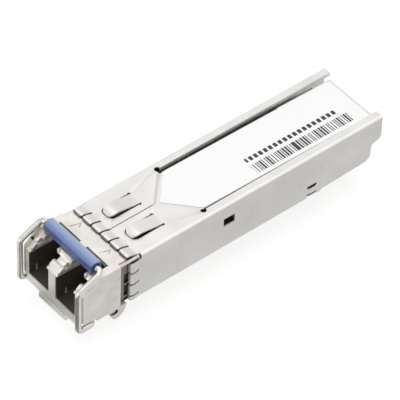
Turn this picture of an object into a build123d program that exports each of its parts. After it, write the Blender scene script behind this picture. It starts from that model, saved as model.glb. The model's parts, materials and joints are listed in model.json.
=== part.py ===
from build123d import *
import math
import os

os.makedirs("parts", exist_ok=True)

# Pluggable optical transceiver with a duplex socket, in millimetres.
# X runs across the module, Y from the ports to the rear, Z up towards the label.
# The design frame has Y = 0 just behind the front of the nose and Z = 0 on the underside.

# Outer form
module_height = 8.5
cover_half_width = 6.75
nose_half_width = 6.85
module_rear = 56.9
nose_front = -0.45
nose_rear = 9.9
nose_edge_chamfer = 0.32
base_rear = module_rear - 2.2

# Sloping front edge of the nose roof, and the scoops cut into it
cheek_inner = 5.9
slope_front_z = 6.45
slope_top_y = 1.9
cheek_front_z = 6.24
cheek_top_y = 2.4
scoop_y = 0.95
scoop_z = module_height + 0.1
scoop_radius = 1.25
scoop_half_width = 1.25
cheek_scoop_inner = 5.0
cheek_scoop_outer = 6.0
cheek_pocket_floor = module_height - 1.55

# Waist behind the nose that the side fingers close over
neck_half_width = 6.15
pocket_front = 7.25
finger_window_front = 7.9
finger_window_rear = 8.9
finger_window_depth = 0.34
finger_room = 0.56
finger_windows = ((0.1, 0.67), (1.05, 3.2), (3.6, 5.5))
rib_x = neck_half_width + 0.27
rib_z = module_height - 0.38
rib_radius = 0.25
rib_rear = 10.35
foot_relief = 0.5
foot_relief_rear = 2.5
wall_relief_top = 1.3
mark_depth = 0.07

# Sheet-metal cover
sheet = 0.25
sheet_gap = 0.06
cover_bend = 0.4
cover_front = 10.1
joint_lap = 0.02
finger_slot = 0.32
finger_corner = 0.38
side_finger_corner = 0.24
finger_tip = 8.08
finger_rise = 0.4
finger_tip_rise = 0.04
finger_lines = (-6.33, -4.22, -2.11, 0.0, 2.11, 4.22, 6.33)
side_finger_lines = (-0.08, 0.95, 3.28, 5.6, module_height - 0.78)
side_finger_tip = 8.28
side_finger_bow = 0.14
corner_slot_length = 0.55
corner_slot_inner = 6.25
corner_slot_floor = module_height - 0.88
tongue_x = 2.66
tongue_width = 2.3
tongue_root = 16.9
tongue_tip = 11.4
tongue_lift = 0.65
tongue_slot = 0.24
tongue_tip_gap = 0.1
tongue_corner = 0.95
slit_half_width = 0.08

# Label panel lanced out of the cover's top
panel_half_width = 4.92
rail_edge = 5.32
rail_hem = 0.45
panel_apex = 18.2
panel_corner = 23.3
panel_front_drop = 0.38
panel_rear_drop = 0.95
panel_rear = module_rear - 0.35
joggle = 0.42
corner_relief = 0.5
label_thick = 0.06
label_gap = 0.02
label_half_width = 4.74
label_tip = panel_apex + 1.3
label_corner = panel_corner + 0.65
label_rear = module_rear - 0.8

# Side windows and snap straps of the cover
window_y = 27.15
window_z = 5.08
window_length = 2.1
window_height = 1.55
strap_front = module_rear - 14.5
strap_length = 1.85
strap_slot_z = 2.2
strap_slot_height = 0.24
strap_foot = 0.48
strap_bulge = 0.13
strap_hollow = 0.5
strap_rear = strap_front + strap_length

# Duplex socket
port_pitch = 6.25
port_width = 4.66
port_floor = 1.6
port_top = 6.25
ferrule_height = port_floor + port_width / 2
ledge_reach = 0.4
roof_under = module_height - 0.8
ledge_top = (port_top + roof_under) / 2 - 0.125
roof_gap_inner = 0.7
roof_gap_outer = 5.55
roof_gap_rear = 5.5
stub_inner = 1.65
stub_front = 1.8
stub_rear = 3.6
head_rear = 1.0
liner_wall = 0.33
liner_gap = 0.04
liner_front = nose_front + 0.2
liner_back_wall = 0.8
socket_back = 9.4

# Ferrule bore and optical sub-assemblies
bore_radius = 0.63
entry_radius = 1.1
entry_throat = 0.7
barrel_front = 4.9
barrel_radius = 1.4
sleeve_front = 5.35
sleeve_rear = 9.3
sleeve_outer = 0.82
sleeve_slit = 0.16
fit_gap = 0.03
end_gap = 0.05
stub_length = 0.9
barrel_body = 1.9
can_radius = 2.0
can_wall = 0.2
can_window_radius = 1.0
can_front = 13.0
header_radius = 2.3
header_front = 16.2
header_rear = 17.1
pin_offset = 0.9
header_pin_radius = 0.18
header_pin_length = 0.5
flex_half_width = 1.7
flex_thick = 0.12
flex_bottom = 2.2
flex_top = 5.5
web_front = 10.8
web_rear = 11.6
web_half_width = 5.4
clamp_top = 7.75
clamp_plate = 0.45
clamp_rear = 12.7

# Circuit board
board_front = 19.6
board_rear = module_rear - 3.2
board_length = board_rear - board_front
board_under = 2.1
board_thickness = 1.0
board_top = board_under + board_thickness
board_half_width = 5.35
edge_half_width = 4.6
edge_front = board_rear - 8.7
edge_corner = 0.5
bevel_length = 0.6
bevel_height = 0.14
notch_front = board_front + 13.3
notch_length = 1.4
notch_depth = 0.45
contact_count = 10
contact_pitch = 0.8
contact_width = 0.56
contact_length = 3.75
long_contact = 4.15
contact_setback = 0.65
contact_thick = 0.04
solder_gap = 0.01
chip_standoff = 0.1
lead_reach = 0.4
lead_thick = 0.16

# Base casting behind the nose
wall_outer = cover_half_width - sheet - sheet_gap
wall_inner = 5.5
wall_top = 4.0
floor_top = 0.9
base_chamfer = 0.5
shoulder_rear = 18.6
shoulder_top = 7.9
shoulder_wall = 0.6
shoulder_floor = floor_top + 0.55
board_seat = board_under - 0.02
ledge_width = 0.7
rear_ledge_width = 1.1

# Latch: bail wire with its grip, rocking lever, pin and return spring
wire = 0.98
leg_x = 6.8
leg_y = -0.98
pivot_y = 1.9
pivot_z = -0.15
pivot_gap = 0.06
crank = 0.4
crank_inner = 1.5
crank_outer = 2.7
crank_cheek = 0.5
bail_bend = 0.85
wire_sides = 16
wire_turn = math.radians(24)
bail_shoulder = module_height - 0.75
grip_y = 3.25
grip_z = module_height + 1.1
grip_size = 2.05
grip_half_length = 5.55
grip_round = 0.6
hanger_inner = 3.35
hanger_outer = 4.45
hanger_reach = 0.85
hanger_under = -0.78
lug_depth = 1.9
lug_inner = 5.95
lug_slot_radius = 0.44
lug_slot_length = 0.42
lug_slot_depth = 0.28
pin_y = 5.7
pin_z = -0.45
pin_radius = 0.4
pin_fit = 0.03
pin_end = nose_half_width - 0.25
lever_half_width = 3.0
lever_side = 0.45
lever_front = -0.55
lever_under = -1.45
lever_floor = -0.82
lever_lip = 0.7
arm_top = 0.4
arm_under = 0.02
arm_half_width = 2.3
arm_neck_y = 8.2
boss_shoulder = 11.9
boss_length = 2.6
boss_half_width = 1.3
boss_drop = 0.45
boss_land = 0.5
arm_tail = 0.15
cavity_half_width = lever_half_width + 0.15
cavity_top = 1.2
cavity_front = 2.6
cavity_rear = boss_shoulder + boss_length + 0.6
spring_half_width = 0.8
spring_thick = 0.12
spring_root = pin_y + 2.6
spring_bend = pin_y + 3.8
spring_touch = boss_shoulder + 0.6
spring_lip = 0.6

front_reach = leg_y - wire / 2
frame = Pos(0, -(front_reach + module_rear) / 2, lug_depth)


def block(x0, x1, y0, y1, z0, z1):
    size = Box(x1 - x0, y1 - y0, z1 - z0)
    return Pos((x0 + x1) / 2, (y0 + y1) / 2, (z0 + z1) / 2) * size


def rod_y(x, z, radius, y0, y1):
    """Round bar along Y."""
    return Pos(x, (y0 + y1) / 2, z) * Rot(90, 0, 0) * Cylinder(radius, y1 - y0)


def rod_x(y, z, radius, x0, x1):
    """Round bar along X."""
    return Pos((x0 + x1) / 2, y, z) * Rot(0, 90, 0) * Cylinder(radius, x1 - x0)


def peg_y(x, z, radius, y0, y1):
    """Six-sided pin along Y."""
    section = Plane(origin=(x, y0, z), z_dir=(0, 1, 0)) * RegularPolygon(radius, 6)
    return extrude(section, amount=y1 - y0, dir=(0, 1, 0))


def slab_x(points, x0, x1):
    """Outline given as (y, z) points, extruded along X from x0 to x1."""
    face = make_face(Polyline(*[(x0, y, z) for y, z in points], close=True))
    return extrude(face, amount=x1 - x0, dir=(1, 0, 0))


def slab_z(points, z0, z1):
    """Outline given as (x, y) points, extruded along Z from z0 to z1."""
    face = make_face(Polyline(*[(x, y, z0) for x, y in points], close=True))
    return extrude(face, amount=z1 - z0, dir=(0, 0, 1))


def round_end(u0, u1, end, root, corner, steps=2):
    """Outline of a tab or slot from its root to an end with corners rounded in short steps."""
    sign = 1 if root > end else -1
    corner = min(corner, 0.48 * (u1 - u0))
    inset = [corner * (1 - math.cos(math.pi / 2 * i / steps)) for i in range(steps + 1)]
    left = [(u0 + a, end + sign * b) for a, b in zip(inset, inset[::-1])]
    right = [(u0 + u1 - u, v) for u, v in left[::-1]]
    return [(u0, root)] + left + right + [(u1, root)]


def bent_sheet(outer, thick):
    """Outline of a bent strip: the points of one face, then the same moved to their left."""
    inner = []
    for i, point in enumerate(outer):
        before = outer[max(i - 1, 0)]
        after = outer[min(i + 1, len(outer) - 1)]
        run, rise = after[0] - before[0], after[1] - before[1]
        length = math.hypot(run, rise)
        inner.append((point[0] - rise / length * thick, point[1] + run / length * thick))
    return outer + inner[::-1]


def mirrored(shape):
    return shape + mirror(shape, about=Plane.YZ)


def save(shape, name):
    export_step(frame * shape, "parts/" + name + ".step")


# Housing: one casting with the duplex nose, the lugs and the long base tray
def port_void():
    """Everything cut out of the nose for the right-hand port."""
    x = port_pitch / 2
    half = port_width / 2
    pocket = half + liner_wall + liner_gap
    channel = half - ledge_reach
    void = block(x - half, x + half, nose_front - 1, socket_back, port_floor, port_top)
    void += block(x - pocket, x + pocket, liner_front - liner_gap, socket_back,
                  port_floor - liner_wall - liner_gap, port_top)
    void += block(x - channel, x + channel, nose_front - 1, socket_back, port_top, roof_under)
    void += block(x - half, x + half, head_rear, socket_back, ledge_top, roof_under)
    void += block(x - channel, x + channel, nose_front - 1, stub_front, roof_under, 9)
    void += block(x - half, x + half, head_rear, stub_front, roof_under, 9)
    void += block(stub_inner, port_pitch - stub_inner, stub_front - 0.1, stub_rear, roof_under, 9)
    void += block(roof_gap_inner, roof_gap_outer, stub_rear, roof_gap_rear, roof_under, 9)
    return void


def above_slope(front_z, top_y):
    """Outline of what is cut away above a slope that rises from the front face to the roof."""
    rise = (module_height - front_z) / (top_y - nose_front)
    return [(nose_front - 1, front_z - rise), (top_y, module_height), (top_y, module_height + 1),
            (nose_front - 1, module_height + 1)]


def nose_block():
    nose = block(-nose_half_width, nose_half_width, nose_front, nose_rear, 0, module_height)
    nose = chamfer(nose.edges().filter_by(Axis.Z).group_by(Axis.Y)[0], nose_edge_chamfer)
    nose -= slab_x(above_slope(slope_front_z, slope_top_y), -cheek_inner, cheek_inner)
    nose -= mirrored(slab_x(above_slope(cheek_front_z, cheek_top_y), cheek_inner, 8))
    nose -= mirrored(port_void())
    nose -= rod_x(scoop_y, scoop_z, scoop_radius, -scoop_half_width, scoop_half_width)
    nose -= mirrored(rod_x(scoop_y, scoop_z, scoop_radius, cheek_scoop_inner, cheek_scoop_outer))
    nose -= mirrored(slab_z([(6.1, 0.9), (6.6, 1.0), (6.35, 1.55)], cheek_pocket_floor, 9))
    # Waist under the fingers, with windows through to the liner
    nose -= mirrored(block(neck_half_width, 8, pocket_front, nose_rear + 1, -1, 9))
    for low, high in finger_windows:
        nose -= mirrored(block(neck_half_width - finger_window_depth, 8, finger_window_front,
                               finger_window_rear, low, high))
    step_top = module_height - finger_room
    nose -= block(-8, 8, finger_tip + 0.15, nose_rear + 1, step_top, 9)
    rib = rod_y(rib_x, rib_z, rib_radius, pocket_front - 0.3, rib_rear)
    rib += block(neck_half_width - 0.1, rib_x, pocket_front - 0.3, nose_rear, rib_z - 0.2, step_top)
    nose += mirrored(rib)
    # Relief for the bail's feet and behind its legs
    nose -= mirrored(block(cheek_inner, 8, nose_front - 1, foot_relief_rear, -1, foot_relief))
    nose -= mirrored(slab_x([(nose_front - 1, wall_relief_top), (nose_front, wall_relief_top),
                             (0.4, foot_relief), (nose_front - 1, foot_relief)], cheek_inner, 8))
    # Two shallow assembly marks on the roof
    for x in (-3.6, 3.2):
        mark = slab_z([(x - 0.55, 6.0), (x - 0.35, 6.0), (x + 0.1, 7.6), (x - 0.05, 7.7)],
                      module_height - mark_depth, 9)
        mark += slab_z([(x + 0.55, 6.9), (x + 0.65, 7.0), (x + 0.1, 7.75), (x - 0.05, 7.7)],
                       module_height - mark_depth, 9)
        nose -= mark
    return nose


def base_tray():
    tray = block(-wall_outer, wall_outer, nose_rear - 0.5, base_rear, 0, wall_top)
    tray += block(-wall_outer, wall_outer, nose_rear - 0.5, shoulder_rear, 0, shoulder_top)
    front_room = shoulder_rear - shoulder_wall
    tray -= block(-wall_inner, wall_inner, nose_rear, front_room, shoulder_floor, 9)
    tray -= block(-wall_inner, wall_inner, front_room, base_rear + 1, floor_top, 9)
    # Ledges under the board and posts in its notches
    ledges = block(wall_inner - ledge_width, wall_inner + 0.1, board_front - 0.3, edge_front - 4,
                   floor_top - 0.1, board_seat)
    ledges += block(wall_inner - rear_ledge_width, wall_inner + 0.1, edge_front - 4, edge_front - 1.8,
                    floor_top - 0.1, board_seat)
    ledges += block(board_half_width - notch_depth + 0.1, wall_inner + 0.1, notch_front + 0.1,
                    notch_front + notch_length - 0.1, floor_top - 0.1, wall_top)
    ledges += block(edge_half_width + 0.12, wall_inner + 0.1, edge_front + 0.15, edge_front + 1.6,
                    floor_top - 0.1, wall_top)
    tray += mirrored(ledges)
    tray -= mirrored(block(neck_half_width, 8, nose_rear - 1, cover_front + 0.3, -1, 9))
    tray -= mirrored(block(wall_outer - strap_hollow, 8, strap_front - 0.15, strap_rear + 0.15,
                           -1, strap_slot_z + 0.35))
    section = make_face(Polyline((wall_outer - base_chamfer, 12, 0), (wall_outer + 0.1, 12, 0),
                                 (wall_outer + 0.1, 12, base_chamfer + 0.1), close=True))
    tray -= mirrored(extrude(section, amount=50, dir=(0, 1, 0)))
    tray += block(-web_half_width, web_half_width, web_front, web_rear, floor_top, ferrule_height)
    return tray


def side_lug():
    """Lug under the nose wall that carries the lever pin and stops the module at the cage."""
    outline = [(4.9, 0.2), (4.9, -0.1), (5.35, -1.5), (5.65, -1.82), (6.1, -lug_depth),
               (6.75, -1.72), (7.4, -1.2), (7.78, -0.55), (7.9, 0.2)]
    lug = slab_x(outline, lug_inner, nose_half_width)
    lug -= rod_x(pin_y, pin_z, pin_radius + pin_fit, 5, 8)
    slot_front = pin_y - lug_slot_length / 2
    slot_rear = pin_y + lug_slot_length / 2
    recess = block(nose_half_width - lug_slot_depth, 8, slot_front, slot_rear,
                   pin_z - lug_slot_radius, pin_z + lug_slot_radius)
    for y in (slot_front, slot_rear):
        recess += rod_x(y, pin_z, lug_slot_radius, nose_half_width - lug_slot_depth, 8)
    return lug - recess


housing = nose_block() + base_tray() + mirrored(side_lug())
for side in (-1, 1):
    port_x = side * port_pitch / 2
    housing -= rod_y(port_x, ferrule_height, barrel_radius + 0.25, socket_back - 1, nose_rear + 1)
    housing -= rod_y(port_x, ferrule_height, barrel_body + fit_gap, web_front - 0.3, web_rear + 0.4)
# Lever cavity, and two hangers with round holes that the bail turns in
housing -= block(-cavity_half_width, cavity_half_width, cavity_front, cavity_rear, -1, cavity_top)
housing += mirrored(block(hanger_inner, hanger_outer, pivot_y - hanger_reach, pivot_y + hanger_reach,
                          hanger_under, 0.3))
housing -= rod_x(pivot_y, pivot_z, wire / 2 + pivot_gap, -8, 8)
housing -= block(-hanger_inner, hanger_inner, 0.6, cavity_front + 0.1, -1, foot_relief)
save(housing, "housing")


# Moulded liners: an open-topped trough in each port, closed behind round the barrel
def liner(x):
    inner = port_width / 2
    outer = inner + liner_wall
    trough = block(x - outer, x + outer, liner_front, socket_back - liner_gap,
                   port_floor - liner_wall, port_top - 0.05)
    trough -= block(x - inner, x + inner, liner_front - 1, socket_back - liner_back_wall,
                    port_floor, port_top + 1)
    return trough - rod_y(x, ferrule_height, barrel_radius + 0.05, barrel_front, 12)


for side, label in ((-1, "left"), (1, "right")):
    save(liner(side * port_pitch / 2), "port_liner_" + label)


# Optical sub-assemblies
def barrel(x):
    """Receptacle that holds the split sleeve and lines a plug's ferrule up with the stub."""
    body = rod_y(x, ferrule_height, barrel_radius, barrel_front, nose_rear + 0.1)
    body += rod_y(x, ferrule_height, barrel_body, nose_rear + 0.05, can_front)
    mouth = sleeve_front - barrel_front - end_gap
    entry = Cone(entry_throat, entry_radius, mouth + 0.001)
    body -= Pos(x, barrel_front + mouth / 2, ferrule_height) * Rot(90, 0, 0) * entry
    return body - rod_y(x, ferrule_height, sleeve_outer + fit_gap, sleeve_front - end_gap, can_front + 1)


def split_sleeve(x):
    tube = rod_y(x, ferrule_height, sleeve_outer, sleeve_front, sleeve_rear)
    tube -= rod_y(x, ferrule_height, bore_radius, sleeve_front - 1, sleeve_rear + 1)
    half_slit = sleeve_slit / 2
    return tube - block(x - half_slit, x + half_slit, sleeve_front - 1, sleeve_rear + 1,
                        ferrule_height, ferrule_height + 2)


def fibre_stub(x):
    front = sleeve_rear + 2 * end_gap
    return rod_y(x, ferrule_height, sleeve_outer, front, front + stub_length)


def can(x):
    shape = rod_y(x, ferrule_height, can_radius, can_front + joint_lap, header_front + joint_lap)
    shape -= rod_y(x, ferrule_height, can_radius - can_wall, can_front + 0.3, header_front + 1)
    return shape - rod_y(x, ferrule_height, can_window_radius, can_front - 1, can_front + 1)


def pin_places(x):
    return [(x + a, ferrule_height + b) for a in (-pin_offset, pin_offset) for b in (-pin_offset, pin_offset)]


def header(x):
    disc = rod_y(x, ferrule_height, header_radius, header_front + 2 * joint_lap, header_rear)
    for pin_x, pin_height in pin_places(x):
        disc += peg_y(pin_x, pin_height, header_pin_radius, header_rear - 0.1,
                      header_rear + header_pin_length)
    return disc


def flex(x):
    """Flexible strip from the header pins down to the top of the board."""
    front = header_rear + 0.04
    face = block(x - flex_half_width, x + flex_half_width, front, front + flex_thick, flex_bottom, flex_top)
    for pin_x, pin_height in pin_places(x):
        face -= peg_y(pin_x, pin_height, header_pin_radius + fit_gap, header_rear - 1, header_rear + 1)
    landing = board_top + solder_gap
    # Under side of the strip, from the top of the face over the bend to the board
    under = [(front + flex_thick, flex_top - 0.05), (front + 0.22, 5.6), (front + 0.45, 5.63),
             (front + 0.95, 5.4), (front + 1.85, 4.28), (front + 2.5, 3.45), (front + 3.15, landing),
             (front + 4.6, landing)]
    return face + slab_x(bent_sheet(under, flex_thick), x - flex_half_width, x + flex_half_width)


for side, label in ((-1, "transmit"), (1, "receive")):
    port_x = side * port_pitch / 2
    save(barrel(port_x), label + "_barrel")
    save(split_sleeve(port_x), label + "_sleeve")
    save(fibre_stub(port_x), label + "_fibre_stub")
    save(can(port_x), label + "_can")
    save(header(port_x), label + "_header")
    save(flex(port_x), label + "_flex")

# Clamp that holds both barrels down in the web
clamp = block(-web_half_width, web_half_width, web_front + 0.05, web_rear - 0.05,
              ferrule_height + 0.05, clamp_top)
for side in (-1, 1):
    clamp -= rod_y(side * port_pitch / 2, ferrule_height, barrel_body + fit_gap, 10, 12)
clamp += block(-web_half_width, web_half_width, web_front + 0.05, clamp_rear,
               clamp_top - clamp_plate, clamp_top)
save(clamp, "barrel_clamp")

# Circuit board with a bevelled plug-in edge
half_outline = [(board_half_width, board_front), (board_half_width, edge_front),
                (edge_half_width, edge_front), (edge_half_width, board_rear - edge_corner),
                (edge_half_width - edge_corner, board_rear)]
board = slab_z(half_outline + [(-x, y) for x, y in half_outline[::-1]], board_under, board_top)
board -= mirrored(block(board_half_width - notch_depth, 9, notch_front, notch_front + notch_length, 0, 9))
for z, sign in ((board_top, 1), (board_under, -1)):
    board -= slab_x([(board_rear - bevel_length, z), (board_rear, z - sign * bevel_height),
                     (board_rear + 1, z - sign * bevel_height), (board_rear + 1, z + sign),
                     (board_rear - bevel_length, z + sign)], -9, 9)
save(board, "circuit_board")


def contacts(z0, z1):
    """Row of flat contacts, with every third one longer so that it mates first."""
    row = []
    rear = board_rear - contact_setback
    for i in range(contact_count):
        x = (i - (contact_count - 1) / 2) * contact_pitch
        length = contact_length if i % 3 else long_contact
        row.append(block(x - contact_width / 2, x + contact_width / 2, rear - length, rear, z0, z1))
    return Compound(children=row)


save(contacts(board_top + 0.005, board_top + 0.005 + contact_thick), "edge_contacts_top")
save(contacts(board_under - 0.005 - contact_thick, board_under - 0.005), "edge_contacts_underside")


# Parts soldered on the board; their places follow the board's length
def along(share):
    return board_front + share * board_length


def package(x, y, width, length, height, leads):
    """Chip package with short leads on both long sides."""
    z = board_top + solder_gap
    shape = block(x - width / 2, x + width / 2, y - length / 2, y + length / 2,
                  z + chip_standoff, z + height)
    pitch = length / leads
    reach = width / 2 + lead_reach
    for i in range(leads):
        lead_y = y - length / 2 + pitch * (i + 0.5)
        shape += block(x - reach, x + reach, lead_y - pitch * 0.22, lead_y + pitch * 0.22, z, z + lead_thick)
    return shape


def chips(places, width, length, height):
    z = board_top + solder_gap
    half_x, half_y = width / 2, length / 2
    group = [block(x - half_x, x + half_x, y - half_y, y + half_y, z, z + height) for x, y in places]
    return Compound(children=group)


save(package(-2.7, along(0.176), 3.0, 3.0, 0.85, 5), "laser_driver_chip")
save(package(2.7, along(0.176), 3.0, 3.0, 0.85, 5), "limiting_amplifier_chip")
save(package(0, along(0.5), 5.0, 5.0, 1.0, 6), "controller_chip")
save(package(0, along(0.692), 2.6, 3.0, 0.9, 4), "memory_chip")
capacitor_places = [(x, along(0.282)) for x in (-4.3, -2.9, -1.5, 1.5, 2.9, 4.3)]
capacitor_places += [(-4.2, along(0.622)), (4.2, along(0.622)), (-3.4, along(0.776)), (3.4, along(0.776))]
resistor_places = [(x, along(0.34)) for x in (-3.8, -2.4, -1.0, 0.6, 2.0, 3.4)]
resistor_places += [(-4.0, along(0.686)), (4.0, along(0.686))]
save(chips(capacitor_places, 0.55, 1.0, 0.5), "ceramic_capacitors")
save(chips(resistor_places, 0.5, 1.0, 0.35), "chip_resistors")
save(chips([(-1.7, along(0.795)), (1.7, along(0.795))], 1.6, 2.0, 1.0), "filter_inductors")


# Cover: one folded sheet with spring fingers, tongues and the lanced label panel
def cover_shell():
    shell = block(-cover_half_width, cover_half_width, cover_front, module_rear, -1, module_height)
    shell = fillet(shell.edges().filter_by(Axis.Y).group_by(Axis.Z)[-1], cover_bend)
    inner_half = cover_half_width - sheet
    inner = block(-inner_half, inner_half, cover_front - 1, module_rear + 1, -2, module_height - sheet)
    return shell - fillet(inner.edges().filter_by(Axis.Y).group_by(Axis.Z)[-1], cover_bend - sheet)


def top_finger(x0, x1):
    """One spring finger: it rises from the cover, then curls down onto the nose."""
    z = module_height
    outer = [(cover_front + joint_lap, z), (cover_front - 0.4, z + 0.3 * finger_rise),
             (cover_front - 0.8, z + 0.7 * finger_rise), (cover_front - 1.2, z + 0.95 * finger_rise),
             (finger_tip + 0.4, z + finger_rise), (finger_tip + 0.14, z + 0.83 * finger_rise),
             (finger_tip + 0.03, z + 0.5 * finger_rise), (finger_tip, z + finger_tip_rise)]
    curled = slab_x(bent_sheet(outer, sheet), x0, x1)
    return curled & slab_z(round_end(x0, x1, finger_tip - 0.01, cover_front + 1, finger_corner), 7, 10)


def side_finger(z0, z1):
    """One finger of the right-hand wall, bowed out and then hooked in over the waist."""
    x = cover_half_width
    outer = [(x, cover_front + joint_lap), (x + 0.5 * side_finger_bow, cover_front - 0.4),
             (x + side_finger_bow, cover_front - 0.8), (x + side_finger_bow, cover_front - 1.2),
             (x + 0.6 * side_finger_bow, side_finger_tip + 0.3), (x - 0.02, side_finger_tip + 0.1),
             (x - 0.2, side_finger_tip), (x - 0.5, side_finger_tip - 0.02)]
    hooked = slab_z(bent_sheet(outer, -sheet), z0, z1)
    side_view = round_end(z0, z1, side_finger_tip - 0.05, cover_front + 1, side_finger_corner)
    return hooked & slab_x([(y, z) for z, y in side_view], 6, 8)


def tongue(x):
    """Bowed tongue with a round free end that curls down to the cover, rooted at its rear."""
    z = module_height
    length = tongue_root - tongue_tip
    shares = ((0, 0), (0.18, 0.15), (0.36, 0.46), (0.54, 0.77), (0.71, 1.0), (0.85, 0.88),
              (0.94, 0.64), (0.99, 0.26), (1.0, -0.2))
    outer = [(tongue_root - share * length, z + lift * tongue_lift) for share, lift in shares]
    outer = [(tongue_root + 0.05, z)] + outer
    half = tongue_width / 2
    bowed = slab_x(bent_sheet(outer, sheet), x - half, x + half)
    plan = round_end(x - half, x + half, tongue_tip - 0.01, tongue_root + 2, tongue_corner, 4)
    return bowed & slab_z(plan, 6, 10)


def tongue_opening(x):
    """Slots on both sides of a tongue, with round ends, and the hole that it rises from."""
    half = tongue_width / 2 + tongue_slot
    corner = tongue_corner + tongue_tip_gap
    plan = round_end(x - half, x + half, tongue_tip - tongue_tip_gap, tongue_root, corner, 4)
    opening = slab_z(plan, 7, 9)
    for edge in (-1, 1):
        slot_x = x + edge * (half - tongue_slot / 2)
        opening += slab_z(round_end(slot_x - tongue_slot, slot_x + tongue_slot, tongue_root + tongue_slot,
                                    tongue_root - tongue_slot, tongue_slot), 7, 9)
    return opening


def panel_drop(y):
    """How far the label panel lies under the cover's top at a place along it."""
    share = (y - panel_apex) / (module_rear - panel_apex)
    return panel_front_drop + share * (panel_rear_drop - panel_front_drop)


def sloping_band(front, rear, lift, thick, half_width):
    """Flat band over the panel's slope, its underside at the given height over the panel."""
    z0 = module_height - panel_drop(front) + lift
    z1 = module_height - panel_drop(rear) + lift
    return slab_x([(front, z0), (rear, z1), (rear, z1 + thick), (front, z0 + thick)], -half_width, half_width)


def arrow_plan(half_width, tip, corner, rear):
    """Plan with a pointed front, shared by the panel, its opening and the label."""
    return slab_z([(0, tip), (half_width, corner), (half_width, rear), (-half_width, rear),
                   (-half_width, corner)], 6, 9)


def panel_step(side):
    """Sloped step that carries the panel down from one of the opening's two front edges."""
    top = module_height
    run = Vector(side * rail_edge, panel_corner - panel_apex, 0)
    along_edge = run.normalized()
    inward = Vector(-side * along_edge.Y, side * along_edge.X, 0)
    start = Vector(0, panel_apex, 0) - along_edge * 0.4
    low = top - panel_front_drop
    section = [start + inward * across + Vector(0, 0, z)
               for across, z in ((-0.03, top), (-0.03, top - sheet), (joggle, low - sheet - 0.05),
                                 (joggle + 0.06, low - sheet - 0.02), (joggle + 0.06, low - 0.03),
                                 (joggle, low - 0.03))]
    step = extrude(make_face(Polyline(*section, close=True)), amount=run.length + 0.35, dir=along_edge)
    half = block(0, 20, 0, 60, 0, 12)
    return step & (half if side > 0 else mirror(half, about=Plane.YZ))


def snap_strap():
    """Bulged strap that springs over the casting near the rear of the right-hand wall."""
    x = cover_half_width
    return slab_z([(x - 0.02, strap_front + 0.05), (x + strap_bulge, strap_front + 0.5),
                   (x + strap_bulge, strap_rear - 0.5), (x - 0.02, strap_rear - 0.05)],
                  strap_foot + 0.02, strap_slot_z - strap_slot_height / 2 - 0.02)


cover = cover_shell()
# The slots between the fingers end in round holes
half_slot = finger_slot / 2
for x in finger_lines[1:-1]:
    slot = round_end(x - half_slot, x + half_slot, cover_front + half_slot, cover_front - 1, half_slot)
    cover -= slab_z(slot, 7, 9)
for z in side_finger_lines[1:-1]:
    slot = round_end(z - half_slot, z + half_slot, cover_front + half_slot, cover_front - 1, half_slot)
    cover -= mirrored(slab_x([(y, height) for height, y in slot], 6, 8))
corner_slot = round_end(corner_slot_inner, 8.5, cover_front + corner_slot_length, cover_front - 1, half_slot)
cover -= mirrored(slab_z(corner_slot, corner_slot_floor, 9))
for x0, x1 in zip(finger_lines[:-1], finger_lines[1:]):
    cover += top_finger(x0 + half_slot, x1 - half_slot)
for z0, z1 in zip(side_finger_lines[:-1], side_finger_lines[1:]):
    cover += mirrored(side_finger(z0 + half_slot, z1 - half_slot))
for x in (-tongue_x, tongue_x):
    cover -= tongue_opening(x)
    cover += tongue(x)
cover -= block(-slit_half_width, slit_half_width, cover_front - 0.2, panel_apex + 0.1, 7, 9)

# Label panel: cut free along both rails and dropping towards the rear
cover -= arrow_plan(rail_edge, panel_apex, panel_corner, module_rear + 1)
step_angle = math.atan2(panel_corner - panel_apex, rail_edge)
plate_tip = panel_apex + joggle / math.cos(step_angle) - 0.02
plate_corner = plate_tip + (panel_corner - panel_apex) * panel_half_width / rail_edge
plate = sloping_band(panel_apex - 1, panel_rear, -sheet, sheet, panel_half_width)
cover += plate & arrow_plan(panel_half_width, plate_tip, plate_corner, module_rear)
for side in (-1, 1):
    cover += panel_step(side)
    cover -= Pos(side * rail_edge, panel_corner, module_height) * Cylinder(corner_relief, 4)
    cover -= Pos(side * (rail_edge - 0.2), panel_corner + 0.1, module_height) * Box(0.8, corner_relief, 3)

# Inner edges of both rails, turned down beside the panel
hem_front = panel_corner + corner_relief
cover += mirrored(block(rail_edge, rail_edge + sheet, hem_front, module_rear,
                        module_height - sheet - rail_hem, module_height - sheet / 2))

# Side windows, snap straps and the stepped rear edge
strap_middle = (strap_front + strap_rear) / 2
for side in (-1, 1):
    wall_x = side * cover_half_width
    cover -= Pos(wall_x, window_y, window_z) * Box(2, window_length, window_height)
    cover -= Pos(wall_x, strap_middle, strap_slot_z) * Box(2, strap_length, strap_slot_height)
    cover -= Pos(wall_x, strap_middle, strap_foot - 1) * Box(2, strap_length, 2)
cover += mirrored(snap_strap())
edge_from_rear = [(-12.0, 0.08), (-11.5, 0.36), (-2.9, 0.68), (-2.35, 1.0), (-1.95, 1.6), (-1.95, 3.2),
                  (-1.65, 3.7), (-0.45, 4.0), (-0.1, 4.35), (0.1, 4.9), (1.1, 4.9), (1.1, -2)]
cover -= slab_x([(cover_front - 1.1, -2), (cover_front - 1.1, 0.08)]
                + [(module_rear + y, z) for y, z in edge_from_rear], -8, 8)
save(cover, "cover")

# Adhesive label on the panel
label_band = sloping_band(panel_apex, module_rear, label_gap, label_thick, 6)
save(label_band & arrow_plan(label_half_width, label_tip, label_corner, label_rear), "label")


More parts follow.
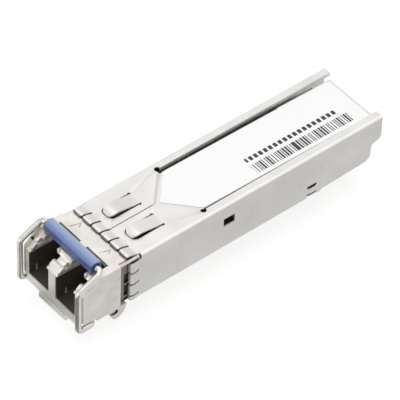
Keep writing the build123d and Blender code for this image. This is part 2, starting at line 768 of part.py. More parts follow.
# Latch: bail wire, grip, rocking lever, pin and return spring
def bent_wire(points, bend, radius):
    """Wire through the points, each corner turned in short lengths round an arc."""
    places = [Vector(*point) for point in points]
    path = [places[0]]
    for before, corner, after in zip(places[:-2], places[1:-1], places[2:]):
        inward = (corner - before).normalized()
        outward = (after - corner).normalized()
        turn = math.acos(inward.dot(outward))
        start = corner - inward * bend * math.tan(turn / 2)
        middle = start + (outward - inward * math.cos(turn)).normalized() * bend
        lengths = max(2, round(turn / wire_turn))
        for i in range(lengths + 1):
            hinge = Axis((0, 0, 0), inward.cross(outward))
            path.append(middle + (start - middle).rotate(hinge, math.degrees(turn) * i / lengths))
    path.append(places[-1])
    section = Plane(origin=path[0], z_dir=(path[1] - path[0])) * RegularPolygon(radius, wire_sides)
    return sweep(section, path=Polyline(*path), transition=Transition.RIGHT)


bail_half = [(crank_outer - 0.1, pivot_y, pivot_z), (leg_x, pivot_y, pivot_z), (leg_x, leg_y, pivot_z),
             (leg_x, leg_y, bail_shoulder), (leg_x, grip_y, grip_z), (0, grip_y, grip_z)]
bail = mirrored(bent_wire(bail_half, bail_bend, wire / 2))
cheek = block(crank_outer - crank_cheek, crank_outer, pivot_y - crank, pivot_y,
              pivot_z - wire / 2 + 0.02, pivot_z + wire / 2 - 0.02)
cheek += rod_x(pivot_y, pivot_z, wire / 2, crank_outer - crank_cheek, crank_outer)
cheek += rod_x(pivot_y - crank, pivot_z, wire / 2, crank_inner, crank_outer)
bail += mirrored(cheek)
save(bail, "bail_wire")

grip = block(-grip_half_length, grip_half_length, grip_y - grip_size / 2, grip_y + grip_size / 2,
             grip_z - grip_size / 2, grip_z + grip_size / 2)
grip = fillet(grip.edges().filter_by(Axis.X), grip_round)
grip -= rod_x(grip_y, grip_z, wire / 2 + joint_lap, -9, 9)
grip -= block(-9, 9, grip_y - wire / 2 - joint_lap, grip_y + wire / 2 - 0.1, grip_z - 2, grip_z)
save(grip, "bail_grip")

# The lever is a tray in front of its pin and a springing arm with the locking boss behind it
boss_rear = boss_shoulder + boss_length
arm_rear = boss_rear + arm_tail
lever_profile = [(lever_front, -0.1), (lever_front, -1.1), (lever_front + 0.35, lever_under),
                 (pin_y + 0.6, lever_under), (pin_y + 1.15, -0.9), (pin_y + 1.7, arm_under),
                 (boss_shoulder, arm_under), (boss_shoulder, -boss_drop),
                 (boss_shoulder + boss_land, -boss_drop), (boss_rear, arm_under), (arm_rear, arm_under),
                 (arm_rear, arm_top), (pin_y + 0.9, arm_top), (pin_y + 0.6, arm_top + 0.1),
                 (pin_y - 0.6, arm_top + 0.1), (pin_y - 0.95, 0.1), (pin_y - 1.1, lever_floor),
                 (lever_front + lever_lip, lever_floor), (lever_front + lever_lip, -0.1)]
lever = slab_x(lever_profile, -lever_half_width, lever_half_width)
lever -= mirrored(block(boss_half_width, 4, boss_shoulder - 0.01, arm_rear + 1, -1, arm_under))
lever += mirrored(block(lever_half_width - lever_side, lever_half_width, lever_front + 0.1,
                        pivot_y - crank - wire / 2 - 0.1, lever_floor - 0.1, -0.1))
lever -= rod_x(pin_y, pin_z, pin_radius + pin_fit + 0.01, -5, 5)
lever -= mirrored(block(arm_half_width, 4, arm_neck_y, arm_rear + 5, -1, 2))
save(lever, "latch_lever")

save(rod_x(pin_y, pin_z, pin_radius, -pin_end, pin_end), "lever_pin")

spring_ceiling = cavity_top - joint_lap - spring_thick
spring_rest = arm_top + fit_gap
spring_under = [(spring_root, spring_ceiling), (spring_bend, spring_ceiling),
                (spring_touch - 1.9, spring_rest + 0.41), (spring_touch - 0.7, spring_rest + 0.09),
                (spring_touch, spring_rest), (spring_touch + spring_lip, spring_rest + 0.09)]
save(slab_x(bent_sheet(spring_under, spring_thick), -spring_half_width, spring_half_width), "lever_spring")
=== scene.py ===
# %% [markdown]
# A small pluggable transceiver is a zinc casting under a folded sheet cover, with two optical
# sockets in its nose and a wire bail that works a latch underneath. The packed CAD model gives
# every solid its size and place. This lesson gives them their finish, softens the edges that
# catch the light, and rebuilds the pieces that are drawn wire, moulded plastic or paper.

# %% The packed model
import json
import math

import bmesh
import bpy
from mathutils import Matrix, Vector


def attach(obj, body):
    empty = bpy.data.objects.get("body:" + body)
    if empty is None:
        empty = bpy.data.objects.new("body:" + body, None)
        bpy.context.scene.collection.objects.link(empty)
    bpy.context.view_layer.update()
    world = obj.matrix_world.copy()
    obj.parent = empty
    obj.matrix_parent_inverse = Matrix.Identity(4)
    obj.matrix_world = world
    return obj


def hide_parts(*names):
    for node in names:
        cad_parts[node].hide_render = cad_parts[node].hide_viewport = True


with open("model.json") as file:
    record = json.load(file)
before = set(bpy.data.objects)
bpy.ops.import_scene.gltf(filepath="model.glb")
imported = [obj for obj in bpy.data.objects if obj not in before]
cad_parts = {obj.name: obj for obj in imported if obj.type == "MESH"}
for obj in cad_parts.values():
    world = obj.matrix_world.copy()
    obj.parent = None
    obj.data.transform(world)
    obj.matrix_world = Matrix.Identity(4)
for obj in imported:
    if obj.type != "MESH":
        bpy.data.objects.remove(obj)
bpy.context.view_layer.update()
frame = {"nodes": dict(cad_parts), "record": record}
nodes = frame["nodes"]
mm = 0.001

# %% [markdown]
# The design was drawn from the front of the nose's side walls and from the module's underside.
# The packed model has its origin under the middle instead, so one helper turns design
# millimetres into metres in the packed frame.

# %% Places
design_shift = Vector((0, -27.715, 1.9))


def place(x, y, z):
    """A point in design millimetres, as metres in the packed frame."""
    return (Vector((x, y, z)) + design_shift) * mm


print("front of the nose:", [round(v, 5) for v in place(0, 0, 0)])

# %% [markdown]
# Shader maths reads best as plain sums. A small class wraps a node's output socket and gives it
# the usual operators, so that 1 - wear * 0.5 builds the Math nodes it stands for.

# %% Shader sums
class Value:
    """An output socket that plain operators can work on."""

    def __init__(self, wiring, socket):
        self.wiring = wiring
        self.socket = socket

    def math(self, operation, *parts):
        return self.wiring.node("ShaderNodeMath", {"operation": operation}, dict(enumerate(parts)))

    def __add__(self, other):
        return self.math("ADD", self, other)

    __radd__ = __add__

    def __sub__(self, other):
        return self.math("SUBTRACT", self, other)

    def __rsub__(self, other):
        return self.math("SUBTRACT", other, self)

    def __mul__(self, other):
        return self.math("MULTIPLY", self, other)

    __rmul__ = __mul__

    def __truediv__(self, other):
        return self.math("DIVIDE", self, other)

    def __rtruediv__(self, other):
        return self.math("DIVIDE", other, self)

    def __gt__(self, other):
        return self.math("GREATER_THAN", self, other)

    def __lt__(self, other):
        return self.math("LESS_THAN", self, other)

    def absolute(self):
        return self.math("ABSOLUTE", self)

    def root(self):
        return self.math("SQRT", self)

    def floor(self):
        return self.math("FLOOR", self)

    def fraction(self):
        return self - self.floor()


print("sums with names:", [name for name in vars(Value) if not name.startswith("_")])

# %% [markdown]
# Every other node is made by one method, which takes its type, its settings and then its
# sockets. The few patterns that come back in many finishes are built on it: a band between two
# limits, masks that are joined, a ramp and a mix of colours. A mask is 1 where it holds and 0
# elsewhere.

# %% Wiring nodes
class Wiring:
    """A node tree in which one method makes every node."""

    def __init__(self, tree):
        self.tree = tree

    def node(self, kind, settings, inputs, output=0):
        made = self.tree.nodes.new(kind)
        for key, value in settings.items():
            setattr(made, key, value)
        for key, value in inputs.items():
            if isinstance(value, Value):
                self.tree.links.new(value.socket, made.inputs[key])
            else:
                made.inputs[key].default_value = value
        return Value(self, made.outputs[output])

    def ray(self, kind):
        """1 for light that goes to the camera, or is seen in gloss or through glass."""
        return self.node("ShaderNodeLightPath", {}, {}, "Is " + kind + " Ray")

    def band(self, value, low, high):
        """1 where value lies between low and high."""
        return (value > low) * (value < high)

    def either(self, *masks):
        """1 where any of the masks is 1."""
        joined = masks[0]
        for mask in masks[1:]:
            joined = joined.math("MAXIMUM", joined, mask)
        return joined

    def ramp(self, value, low, high, start=0.0, end=1.0):
        """From start to end while value goes from low to high."""
        return self.node("ShaderNodeMapRange", {"clamp": True},
                         {"Value": value, 1: low, 2: high, 3: start, 4: end})

    def blend(self, factor, first, second):
        """Colour mix; 6, 7 and 2 are the Mix node's colour inputs and output."""
        return self.node("ShaderNodeMix", {"data_type": "RGBA"},
                         {0: factor, 6: first, 7: second}, 2)


print("patterns:", [name for name in vars(Wiring) if not name.startswith("_")])

# %% [markdown]
# A finish is a material whose shader is fed step by step. Its patterns are laid out in Object
# coordinates, so a mask can name a place on the part: a box in design millimetres, the same on
# the left and the right. The finished material is kept under its slot's name.

# %% Finishes
finishes = {}


class Finish(Wiring):
    """A material, and the places on the object that it is laid out in."""

    def __init__(self, name, **uniform):
        self.name = name
        self.material = bpy.data.materials.new(name)
        self.material.use_nodes = True
        super().__init__(self.material.node_tree)
        self.shader = self.tree.nodes["Principled BSDF"]
        for socket, value in uniform.items():
            self.shader.inputs[socket.replace("_", " ")].default_value = value
        self.places = self.node("ShaderNodeTexCoord", {}, {}, "Object")

    def noise(self, scale, detail, stretch=(1, 1, 1)):
        """Noise with cells 1/scale metres across; a small stretch draws them out on that axis."""
        points = self.node("ShaderNodeMapping", {}, {"Vector": self.places, "Scale": stretch})
        return self.node("ShaderNodeTexNoise", {},
                         {"Vector": points, "Scale": scale, "Detail": detail})

    def axis(self, name):
        return self.node("ShaderNodeSeparateXYZ", {}, {"Vector": self.places}, name)

    def inside(self, x, y, z):
        """1 inside a box, given as ranges of |X|, Y and Z; |X| from -1 takes in the middle."""
        low, high = place(x[0], y[0], z[0]), place(x[1], y[1], z[1])
        return (self.band(self.axis("X").absolute(), low.x, high.x)
                * self.band(self.axis("Y"), low.y, high.y)
                * self.band(self.axis("Z"), low.z, high.z))

    def feed(self, socket, value):
        self.tree.links.new(value.socket, self.shader.inputs[socket])

    def bump(self, height, strength, depth):
        self.feed("Normal", self.node("ShaderNodeBump", {}, {
            "Height": height, "Strength": strength, "Distance": depth * mm}))

    def keep(self):
        finishes[self.name] = self.material
        print(self.name, "nodes:", len(self.tree.nodes))


def colour(red, green, blue):
    """Screen values 0 to 255 as a linear colour."""
    def linear(v):
        v = v / 255
        return v / 12.92 if v <= 0.04045 else ((v + 0.055) / 1.055) ** 2.4
    return (linear(red), linear(green), linear(blue), 1.0)


white, black = colour(255, 255, 255), colour(0, 0, 0)
print("middle grey:", round(colour(128, 128, 128)[0], 3))

# %% [markdown]
# The nose is cast in zinc and plated with nickel. Its skin is pale and warm, with a very fine
# grain from the mould and a faint cloudiness in the plating. Grain and clouds are two noises of
# different size: the fine one lifts the surface, the coarse one shifts colour and gloss. Shade is
# painted in: the waist under the fingers, the cavity over the lever, the socket ledges and the
# roof marks get a painted grey shade, and the windows in the waist and the sides, the hollows at
# the straps, the lever pin's slots and the cheek pockets get a near-black painted shadow.

# %% Plated casting
def plated_casting():
    finish = Finish("plated_casting")
    clouds = finish.noise(350, 4)
    grain = finish.noise(9000, 2)
    plated = finish.blend(finish.ramp(clouds, 0.35, 0.7), colour(214, 210, 203),
                          colour(232, 229, 223))
    waist_sides = finish.inside((5.5, 6.3), (7.35, 10.8), (-0.2, 8.0))
    waist_top = finish.inside((-1, 6.9), (8.3, 11), (7.0, 7.97))
    lever_cavity = finish.inside((-1, 3.2), (-0.3, 15.2), (0.03, 1.25))
    socket_tops = finish.inside((0.95, 5.3), (-0.5, 0.6), (6.68, 6.8))
    roof_marks = finish.inside((2.9, 4.4), (5.8, 7.9), (8.3, 8.46)) * 0.6
    # Painted shade: the recesses are coloured darker where shade falls.
    painted_recess_shade = finish.either(waist_sides, waist_top, lever_cavity, socket_tops, roof_marks)
    waist_windows = finish.inside((5.5, 6.08), (7.8, 9.0), (-0.2, 5.7))
    side_windows = finish.inside((5.0, 6.7), (25.5, 28.8), (3.8, 6.4))
    strap_hollows = finish.inside((5.0, 6.75), (42.0, 44.7), (-0.5, 2.9))
    pin_slots = finish.inside((6.5, 6.8), (5.0, 6.4), (-0.95, 0.05))
    cheek_pockets = finish.inside((6.0, 6.7), (0.8, 1.6), (6.8, 7.4))
    # Painted shadow: the hollows are coloured near black.
    painted_hollow_shadow = finish.either(waist_windows, side_windows, strap_hollows, pin_slots, cheek_pockets)
    shaded_plate = finish.blend(painted_recess_shade, plated, colour(128, 123, 114))
    finish.feed("Base Color", finish.blend(painted_hollow_shadow, shaded_plate, colour(24, 22, 20)))
    finish.feed("Metallic", 0.55 - painted_hollow_shadow * 0.5)
    finish.feed("Roughness", 0.30 + clouds * 0.12 + grain * 0.06 + painted_hollow_shadow * 0.3)
    finish.bump(grain, 0.25, 0.02)
    finish.keep()


plated_casting()

# %% [markdown]
# The cover is thin sheet, plated after it was folded. It is smoother than the casting, slightly
# whiter, and carries the faint lengthwise marks of the rolling mill, which a noise stretched
# along the module gives. A painted highlight runs along the long bends, and painted shade makes
# the fingers' front lips browner. The inner faces, the margin beside the label and the slots at
# the straps are painted dark as shade.

# %% Cover sheet
def cover_sheet():
    finish = Finish("cover_sheet", Metallic=0.5)
    clouds = finish.noise(180, 3)
    rolling = finish.noise(2600, 2, (1, 0.03, 1))
    plated = finish.blend(finish.ramp(clouds, 0.3, 0.7), colour(215, 214, 211),
                          colour(228, 227, 224))
    inner_walls = finish.inside((5.6, 6.56), (10.2, 54.6), (-1, 5.8))
    inner_rails = finish.inside((5.6, 6.56), (10.2, 54.6), (6.36, 8.22))
    label_margins = finish.inside((4.76, 4.95), (23.4, 46), (7.0, 8.4))
    upper_slots = finish.inside((6.5, 6.9), (42.4, 44.2), (1.95, 2.42))
    lower_slots = finish.inside((6.5, 6.9), (42.4, 44.2), (0.3, 0.85))
    shade = finish.either(inner_walls, inner_rails, label_margins, upper_slots, lower_slots)
    # Painted shade on the fingers' front lips.
    finger_lips = finish.inside((-1, 6.9), (7.9, 8.36), (7.4, 8.92))
    # Painted highlight along the long bends.
    long_bends = finish.inside((6.5, 6.8), (10.1, 57), (8.2, 8.49))
    painted_bend_highlight = finish.blend(long_bends, plated, colour(252, 251, 249))
    with_shaded_lips = finish.blend(finger_lips, painted_bend_highlight, colour(124, 119, 110))
    finish.feed("Base Color", finish.blend(shade, with_shaded_lips, colour(84, 81, 76)))
    finish.feed("Roughness", 0.33 + rolling * 0.10 + clouds * 0.05)
    finish.bump(rolling, 0.12, 0.02)
    finish.keep()


cover_sheet()

# %% [markdown]
# The bail is drawn wire, brighter than the casting. The lever is a plated stamping, the leaf
# spring is strip, and the turned barrels have tool marks. One finish serves them and the gold
# plate: a noise that is stretched along one axis gives the marks, and clouds shift the tone.

# %% Wire, lever, spring, turned steel and gold
def bright_metal(name, shade, stretch, rough):
    finish = Finish(name, Metallic=0.85)
    marks = finish.noise(5200, 2, stretch)
    clouds = finish.noise(420, 3)
    darker = colour(*(v - 16 for v in shade))
    finish.feed("Base Color", finish.blend(finish.ramp(clouds, 0.35, 0.7), darker, colour(*shade)))
    finish.feed("Roughness", rough + marks * 0.12)
    finish.bump(marks, 0.15, 0.02)
    finish.keep()


bright_metal("bail_steel", (216, 213, 206), (1, 1, 1), 0.09)
bright_metal("lever_steel", (234, 231, 225), (0.1, 1, 1), 0.28)
bright_metal("spring_steel", (190, 190, 192), (1, 0.1, 1), 0.3)
bright_metal("turned_steel", (200, 200, 200), (1, 0.05, 1), 0.25)
bright_metal("gold_plate", (236, 196, 110), (1, 1, 1), 0.25)

# %% [markdown]
# Moulded plastics have the fine texture that spark erosion leaves in their mould. One finish
# serves the chip packages, the board's mask, the ceramics and the other small parts: only the
# colours, the grain and the gloss differ.

# %% Moulded and fired parts
def clouded(finish, first, second):
    """Two close colours in soft clouds."""
    clouds = finish.noise(260, 3)
    return finish.blend(finish.ramp(clouds, 0.3, 0.75), colour(*first), colour(*second))


def spark_texture(finish, rough, grain_scale=5200):
    grain = finish.noise(grain_scale, 2)
    finish.feed("Roughness", rough + grain * 0.12)
    finish.bump(grain, 0.3, 0.03)


def moulded(name, first, second, rough, grain_scale=5200, coat=0.0):
    finish = Finish(name, Coat_Weight=coat, Coat_Roughness=0.25)
    finish.feed("Base Color", clouded(finish, first, second))
    spark_texture(finish, rough, grain_scale)
    finish.keep()


moulded("clamp_plastic", (52, 52, 52), (62, 62, 62), 0.45)
moulded("board_laminate", (22, 96, 52), (30, 112, 62), 0.35, 3000, 0.4)
moulded("chip_plastic", (44, 44, 46), (54, 54, 56), 0.4)
moulded("capacitor_ceramic", (176, 140, 104), (192, 158, 120), 0.4)
moulded("inductor_ferrite", (74, 74, 78), (88, 88, 92), 0.5)
moulded("sleeve_ceramic", (236, 234, 226), (244, 242, 236), 0.2, coat=0.3)
moulded("flex_film", (196, 130, 50), (212, 146, 62), 0.3, coat=0.4)

# %% [markdown]
# The black socket linings are glossier, and a pale stripe low on each wall is a painted
# reflection of light. The stripes are narrow boxes just inside the two side walls of each socket.

# %% Socket plastic
def liner_plastic():
    finish = Finish("liner_plastic", Coat_Weight=0.4, Coat_Roughness=0.2)
    # Painted reflections: pale stripes where light glints on the walls.
    inner_stripes = finish.inside((0.7, 0.9), (1.4, 1.62), (1.5, 2.6))
    outer_stripes = finish.inside((5.35, 5.55), (0.93, 1.15), (1.5, 2.7))
    painted_glints = finish.either(inner_stripes, outer_stripes)
    dark = clouded(finish, (60, 56, 48), (78, 73, 63))
    finish.feed("Base Color", finish.blend(painted_glints, dark, colour(205, 202, 192)))
    spark_texture(finish, 0.36)
    finish.keep()


liner_plastic()

# %% [markdown]
# The grip is the same kind of plastic in blue. Light is painted onto its back, growing towards
# the rear, its front is painted darker as shade, with a paler line along the bottom, and the
# inside of the clip and the lip under its front get the darkest painted shade. The tones follow
# the distance from the wire that the grip is clipped on, along the module and up.

# %% Grip plastic
wire_centre = place(0, 3.25, 9.6)


def grip_plastic():
    finish = Finish("grip_plastic", Coat_Weight=0.25, Coat_Roughness=0.25)
    along = finish.axis("Y") - wire_centre.y
    up = finish.axis("Z") - wire_centre.z
    from_wire = (along * along + up * up).root()
    front_bottom, front_top = -0.58 * mm, 0.6 * mm
    # Painted light: the back grows lighter towards the rear, as if lit from behind.
    painted_light_share = finish.ramp(along, -0.9 * mm, 0.95 * mm)
    back = finish.blend(painted_light_share, colour(100, 122, 178), colour(184, 202, 230))
    # Painted shade: the front face is darker; a paler line runs along its bottom.
    blue = finish.blend(up > front_top, colour(62, 80, 140), back)
    pale_bottom_line = finish.band(up, front_bottom, -0.46 * mm)
    edged = finish.blend(pale_bottom_line, blue, colour(122, 138, 186))
    unlit = finish.either(from_wire < 0.72 * mm, up < front_bottom)
    finish.feed("Base Color", finish.blend(unlit, edged, colour(46, 60, 100)))
    spark_texture(finish, 0.38)
    finish.keep()


grip_plastic()

# %% [markdown]
# The label is bright white coated paper, given a faint painted glow by emission. A row of plain
# bars stands in for the printed strip, with a dashed line beside it. Their rhythm means nothing:
# the fraction of a step's number times 0.618 decides whether the step is dark, and every sixth
# step that share changes. The ink doesn't glow.

# %% Label paper
bar_step, dash_step = 0.17 * mm, 0.95 * mm
bars_from, bars_to = place(2.1, 34.8, 0), place(4.05, 53.9, 0)
dashes_from, dashes_to = place(0.55, 34.9, 0), place(1.4, 52.4, 0)


def label_paper():
    finish = Finish("label_paper", Coat_Weight=0.15, Coat_Roughness=0.3, Emission_Strength=0.08)
    x, y = finish.axis("X"), finish.axis("Y")
    steps = (y / bar_step).floor()
    sixes = (steps / 6).floor()
    dark_share = 0.34 + (sixes * 0.73).fraction() * 0.34
    dark = (steps * 0.618).fraction() < dark_share
    bars = (dark * finish.band(y, bars_from.y, bars_to.y)
            * finish.band(x, bars_from.x, bars_to.x))
    dash = (y / dash_step).fraction() > 0.35
    dashes = (dash * finish.band(y, dashes_from.y, dashes_to.y)
              * finish.band(x, dashes_from.x, dashes_to.x))
    ink = finish.either(bars, dashes)
    fibres = finish.noise(2500, 3)
    paper = finish.blend(fibres, colour(251, 251, 251), colour(254, 254, 254))
    finish.feed("Base Color", finish.blend(ink, paper, colour(38, 36, 34)))
    # Painted glow: the paper emits a little light, the ink none.
    finish.feed("Emission Color", finish.blend(ink, white, black))
    finish.feed("Roughness", 0.5 - ink * 0.15 + fibres * 0.08)
    finish.bump(fibres, 0.08, 0.02)
    finish.keep()


label_paper()

# %% [markdown]
# The record names a slot for each node. Every packed node gets that slot's finish, whether it
# stays or is copied later.

# %% Finishes by slot
slot_of = {part["node"]: part["material_slot"] for part in frame["record"]["subparts"]}
body_of = {name: body
           for body, names in frame["record"]["behaviour"]["bodies"].items() for name in names}
for name, node in nodes.items():
    node.data.materials.clear()
    node.data.materials.append(finishes[slot_of[name]])
print("slots:", len(set(slot_of.values())), "finishes:", len(finishes), "bodies:",
      sorted(set(body_of.values())))

# %% [markdown]
# A piece made here takes the place of its packed node. It hangs on the same body, so that it
# moves with it, and it carries the node's slot. Its faces are shaded smooth, apart from the
# edges that turn sharply, and the large faces decide the shading.

# %% Keeping a piece
shading_angle = math.radians(34)


def keep_piece(mesh_bm, name, node_name):
    mesh = bpy.data.meshes.new(name)
    mesh_bm.to_mesh(mesh)
    mesh_bm.free()
    piece = bpy.data.objects.new(name, mesh)
    bpy.context.scene.collection.objects.link(piece)
    mesh.materials.append(finishes[slot_of[node_name]])
    for face in mesh.polygons:
        face.use_smooth = True
    mesh.set_sharp_from_angle(angle=shading_angle)
    even = piece.modifiers.new("even_shading", "WEIGHTED_NORMAL")
    even.keep_sharp = True
    even.weight = 90
    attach(piece, body_of[node_name])
    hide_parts(node_name)
    print(name, "faces:", len(mesh.polygons))


print("shaded smooth up to", round(math.degrees(shading_angle)), "degrees")

# %% [markdown]
# A boolean-built solid has knife edges, and real edges never are: a casting has radii and sheet
# has a burr that was tumbled off. Each visible solid is copied, its loose triangles are merged,
# the flat faces are joined again, and the sharp edges get a narrow round. Two small shapes are
# moved on the copies, where the photograph shows a wider waist than the solids have.

# %% Softened copies
def sharp_edges(bm, angle):
    return [e for e in bm.edges
            if len(e.link_faces) == 2 and e.calc_face_angle(0) > math.radians(angle)]


def round_edges(bm, edges, radius):
    bmesh.ops.bevel(bm, geom=edges, offset=radius, offset_type="OFFSET", segments=2, profile=0.5,
                    affect="EDGES", clamp_overlap=True, material=-1)


def deepen_waist(bm):
    """Bring the waist's front shoulder 0.5 mm forward."""
    shoulder = place(6.1, 7.25, 0)
    moved = [v for v in bm.verts
             if abs(v.co.x) > shoulder.x and abs(v.co.y - shoulder.y) < 0.01 * mm]
    bmesh.ops.translate(bm, verts=moved, vec=Vector((0, -0.5 * mm, 0)))


def shorten_side_fingers(bm):
    """Draw the side fingers' tips back a little, most at the very tip."""
    root, tip = place(6.2, 10.05, 7.65), place(6.2, 8.28, 7.65)
    for v in bm.verts:
        if abs(v.co.x) > root.x and v.co.y < root.y and v.co.z < root.z:
            v.co.y += 0.3 * mm * (root.y - v.co.y) / (root.y - tip.y)


def softened(node_name, radius, reshape=None):
    bm = bmesh.new()
    bm.from_mesh(nodes[node_name].data)
    bmesh.ops.remove_doubles(bm, verts=bm.verts, dist=0.002 * mm)
    if reshape:
        reshape(bm)
    bmesh.ops.dissolve_limit(bm, angle_limit=math.radians(0.5), verts=bm.verts, edges=bm.edges,
                             delimit={"NORMAL"})
    round_edges(bm, sharp_edges(bm, 28), radius)
    bmesh.ops.triangulate(bm, faces=[f for f in bm.faces if len(f.verts) > 4])
    keep_piece(bm, node_name + "_finished", node_name)


softened("housing", 0.07 * mm, deepen_waist)
softened("cover", 0.035 * mm, shorten_side_fingers)
softened("latch_lever", 0.08 * mm)

# %% [markdown]
# The bail is one length of drawn wire. A ring of edges is pushed along the straight lengths and
# spun round each bend, which is how the wire itself was bent. The corners of its centre line are
# in design millimetres: one half from its hanger under the nose, out and up to the grip, and then
# the same mirrored. Each bend has the same radius. Two short crank pins near the wire's ends
# press the lever.

# %% Bail wire
wire_radius, bend_radius = 0.49 * mm, 0.85 * mm
wire_sides, bend_steps = 28, 12
half_bail = [(2.25, 1.9, -0.15), (6.8, 1.9, -0.15), (6.8, -0.98, -0.15), (6.8, -0.98, 7.75),
             (6.8, 3.25, 9.6)]
bail_corners = ([place(*corner) for corner in half_bail]
                + [place(-x, y, z) for x, y, z in reversed(half_bail)])


def points_of(geometry):
    return [v for v in geometry if isinstance(v, bmesh.types.BMVert)]


def edges_of(geometry, ring):
    return [e for e in geometry if isinstance(e, bmesh.types.BMEdge)
            and e.verts[0] in ring and e.verts[1] in ring]


def bent_wire(bm, corners, radius, bend):
    heading = (corners[1] - corners[0]).normalized()
    turned = heading.to_track_quat("Z", "Y").to_matrix().to_4x4()
    ring = bmesh.ops.create_circle(bm, cap_ends=True, radius=radius, segments=wire_sides,
                                   matrix=Matrix.Translation(corners[0]) @ turned)["verts"]
    edges = edges_of(bm.edges, ring)
    start = corners[0]
    for i in range(1, len(corners)):
        heading = (corners[i] - corners[i - 1]).normalized()
        trim, angle = 0, 0
        if i < len(corners) - 1:
            onward = (corners[i + 1] - corners[i]).normalized()
            angle = heading.angle(onward)
            trim = bend * math.tan(angle / 2)
        end = corners[i] - heading * trim
        pushed = bmesh.ops.extrude_edge_only(bm, edges=edges)["geom"]
        ring = points_of(pushed)
        bmesh.ops.translate(bm, verts=ring, vec=end - start)
        edges = edges_of(pushed, ring)
        start = end
        if angle:
            hinge = heading.cross(onward).normalized()
            centre = end + hinge.cross(heading) * bend
            last = bmesh.ops.spin(bm, geom=ring + edges, cent=centre, axis=hinge, angle=angle,
                                  steps=bend_steps, use_merge=False,
                                  use_duplicate=False)["geom_last"]
            ring = points_of(last)
            edges = edges_of(last, ring)
            start = corners[i] + onward * trim
    bmesh.ops.holes_fill(bm, edges=edges, sides=wire_sides)


def round_bar(bm, centre, radius, length):
    """Round bar along X with softened ends."""
    across = Matrix.Rotation(math.radians(90), 4, "Y")
    made = bmesh.ops.create_cone(bm, cap_ends=True, segments=wire_sides, radius1=radius,
                                 radius2=radius, depth=length,
                                 matrix=Matrix.Translation(centre) @ across)["verts"]
    rims = [e for e in {e for v in made for e in v.link_edges} if e.calc_face_angle(0) > 1.2]
    round_edges(bm, rims, 0.05 * mm)


wire_bm = bmesh.new()
bent_wire(wire_bm, bail_corners, wire_radius, bend_radius)
for side in (-1, 1):
    round_bar(wire_bm, place(side * 2.0, 1.5, -0.15), wire_radius, 1.2 * mm)
bmesh.ops.recalc_face_normals(wire_bm, faces=wire_bm.faces)
keep_piece(wire_bm, "bail_wire_bent", "bail_wire")

# %% [markdown]
# The blue grip is an extruded clip. Its section is a C round the wire: a rounded back and top, a
# crisp front edge, a flat front with a thin lip set back under it, and a longer rear leg. The
# outline is given round the wire's centre, in millimetres along and up.

# %% Grip
grip_half_length = 5.5
grip_outer = [(-0.83, -1.0), (-0.83, -0.66), (-0.95, -0.62), (-0.99, 0.60), (-0.52, 0.90),
              (-0.08, 1.02), (0.40, 0.99), (0.78, 0.80), (1.0, 0.45), (1.02, -0.86), (0.94, -1.02)]
hollow_radius = 0.67
hollow = [(hollow_radius * math.cos(math.radians(a)), hollow_radius * math.sin(math.radians(a)))
          for a in range(-30, 211, 20)]
grip_inner = [(0.60, -1.02)] + hollow + [(-0.66, -1.0)]


def extruded_section(bm, outline, half_length, centre):
    """Outline of (along, up) points round a centre, extruded along X with softened ends."""
    bm.faces.new([bm.verts.new(centre + Vector((-half_length, along, up)) * mm)
                  for along, up in outline])
    pushed = bmesh.ops.extrude_face_region(bm, geom=list(bm.faces))["geom"]
    bmesh.ops.translate(bm, verts=points_of(pushed), vec=Vector((2 * half_length, 0, 0)) * mm)
    bmesh.ops.recalc_face_normals(bm, faces=bm.faces)
    round_edges(bm, sharp_edges(bm, 35), 0.05 * mm)
    bmesh.ops.triangulate(bm, faces=[f for f in bm.faces if len(f.verts) > 4])


grip_bm = bmesh.new()
extruded_section(grip_bm, grip_outer + grip_inner, grip_half_length, wire_centre)
keep_piece(grip_bm, "bail_grip_clip", "bail_grip")

# %% [markdown]
# The label is paper with its corners clipped round. Its plan is laid just above the panel, which
# falls away towards the rear, and is then given the paper's thickness.

# %% Label
module_height = 8.5
panel_from, panel_to = 18.2, 56.9
drop_from, drop_to = 0.38, 0.95
label_lift, label_thickness, corner_round = 0.03, 0.05, 0.25
label_plan = [(0, 19.5), (4.72, 23.95), (4.72, 56.1), (-4.72, 56.1), (-4.72, 23.95)]


def panel_height(y):
    share = (y - panel_from) / (panel_to - panel_from)
    return module_height - drop_from - share * (drop_to - drop_from)


label_bm = bmesh.new()
label_bm.faces.new([label_bm.verts.new(place(x, y, panel_height(y) + label_lift))
                    for x, y in label_plan])
bmesh.ops.bevel(label_bm, geom=list(label_bm.verts), offset=corner_round * mm, segments=5,
                profile=0.5, affect="VERTICES", material=-1)
thickened = bmesh.ops.extrude_face_region(label_bm, geom=list(label_bm.faces))["geom"]
bmesh.ops.translate(label_bm, verts=points_of(thickened),
                    vec=Vector((0, 0, label_thickness * mm)))
bmesh.ops.recalc_face_normals(label_bm, faces=label_bm.faces)
bmesh.ops.triangulate(label_bm, faces=[f for f in label_bm.faces if len(f.verts) > 4])
keep_piece(label_bm, "label_paper_sheet", "label")

# %% [markdown]
# The photograph is a cut-out on white under broad soft light from above. The world is white to
# the camera and in gloss, so that metal shows the white background too, but it lights the object
# at a plain level.

# %% World
plain_level = 0.55
scene = bpy.context.scene
scene.view_settings.view_transform = "Standard"
world = bpy.data.worlds.new("studio")
scene.world = world
world.use_nodes = True
sky = Wiring(world.node_tree)
shown = sky.either(sky.ray("Camera"), sky.ray("Glossy"), sky.ray("Transmission"))
background = sky.tree.nodes["Background"]
background.inputs["Color"].default_value = white
sky.tree.links.new(sky.ramp(shown, 0, 1, plain_level, 1.0).socket, background.inputs["Strength"])
print("world lights the object at", plain_level)

# %% [markdown]
# Two large lamps give the light its direction: one overhead and a weaker one before the nose.
# The one overhead is large, so that the flat cover can mirror it without washing out.

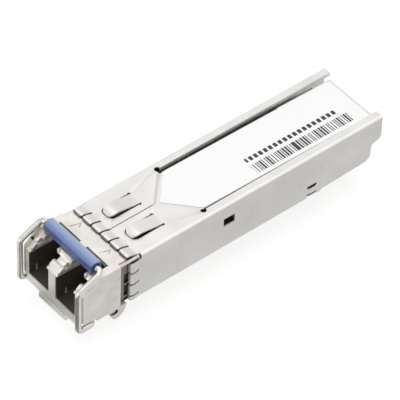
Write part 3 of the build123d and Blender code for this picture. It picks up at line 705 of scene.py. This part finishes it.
# %% Lamps
def softbox(name, location, size, power):
    lamp = bpy.data.lights.new(name, "AREA")
    lamp.shape = "SQUARE"
    lamp.size = size
    lamp.energy = power
    holder = bpy.data.objects.new(name, lamp)
    scene.collection.objects.link(holder)
    holder.location = location
    aim = Vector((0, 0, 0.006)) - Vector(location)
    holder.rotation_euler = aim.to_track_quat("-Z", "Y").to_euler()
    print(name, "distance:", round(aim.length, 3))


softbox("top_light", (-0.05, 0.05, 0.42), 0.46, 0.72)
softbox("front_light", (-0.10, -0.45, 0.16), 0.25, 0.35)

# %% [markdown]
# The floor is white to the camera and in gloss while it still takes a faint shadow. It lies
# 1.8 mm low, so that the bail is still seen when it is swung down. Bright wire only looks like
# wire with something dark to mirror, so two wedges of floor, from the bail's legs towards the
# camera, are dark to metal alone.

# %% Floor
camera_turn = math.radians(48.776)
toward = Vector((math.sin(camera_turn), -math.cos(camera_turn)))
floor_drop, floor_half, floor_grey, floor_glow = 1.8 * mm, 2.0, 0.33, 0.79
wedge_spread, wedge_edge = 0.45, 0.6 * mm

floor_bm = bmesh.new()
bmesh.ops.create_grid(floor_bm, x_segments=1, y_segments=1, size=floor_half,
                      matrix=Matrix.Translation((0, 0, -floor_drop)))
floor_mesh = bpy.data.meshes.new("floor")
floor_bm.to_mesh(floor_mesh)
floor_bm.free()
floor = bpy.data.objects.new("floor", floor_mesh)
scene.collection.objects.link(floor)

floor_paper = Finish("floor_paper", Roughness=0.9, Specular_IOR_Level=0.0,
                     Base_Color=(floor_grey, floor_grey, floor_grey, 1))


def dark_wedge(leg):
    """1 on the floor from a leg of the bail towards the camera, widening as it goes."""
    x, y = floor_paper.axis("X") - leg.x, floor_paper.axis("Y") - leg.y
    ahead = x * toward.x + y * toward.y
    aside = (y * toward.x - x * toward.y).absolute()
    return floor_paper.ramp(aside - ahead * wedge_spread, wedge_edge, -wedge_edge) * (ahead > 0)


wedges = floor_paper.either(*(dark_wedge(place(x, -0.98, 0)) for x in (6.8, -6.8)))
in_gloss = floor_paper.ray("Glossy")
floor_paper.feed("Emission Color", floor_paper.blend(wedges * in_gloss, white, black))
floor_paper.feed("Emission Strength", (floor_paper.ray("Camera") + in_gloss) * floor_glow)
floor_mesh.materials.append(floor_paper.material)
print("floor nodes:", len(floor_paper.tree.nodes))

# %% [markdown]
# The camera stands where the photograph was taken from: about half a metre away with a long
# lens, 49 degrees round from the nose and 45 degrees up, leaning over by two degrees. Its focal
# length and the middle of the lens were fitted in pixels of the photograph, which is square.

# %% Camera
rise, lean, distance = math.radians(45.411), math.radians(2.295), 0.5353
look_at = place(0, 28, 4)
picture_pixels, focal_pixels = 400, 3628.8
lens_middle_x, lens_middle_y = 204.14, 196.91

back = Vector((toward.x * math.cos(rise), toward.y * math.cos(rise), math.sin(rise)))
right = Vector((-toward.y, toward.x, 0))
up = back.cross(right)
across = right * math.cos(lean) + up * math.sin(lean)
upward = up * math.cos(lean) - right * math.sin(lean)
lens = bpy.data.cameras.new("camera")
camera = bpy.data.objects.new("camera", lens)
scene.collection.objects.link(camera)
camera.matrix_world = Matrix.Translation(look_at + back * distance) @ Matrix(
    (across, upward, back)).transposed().to_4x4()
lens.sensor_width = 36
lens.lens = focal_pixels / picture_pixels * lens.sensor_width
lens.shift_x = (picture_pixels / 2 - lens_middle_x) / picture_pixels
lens.shift_y = (lens_middle_y - picture_pixels / 2) / picture_pixels
lens.clip_start = 0.01
scene.camera = camera
print("camera at", [round(v, 3) for v in camera.matrix_world.translation])

# %% [markdown]
# Rounding and bending must not make the part larger than it was designed.
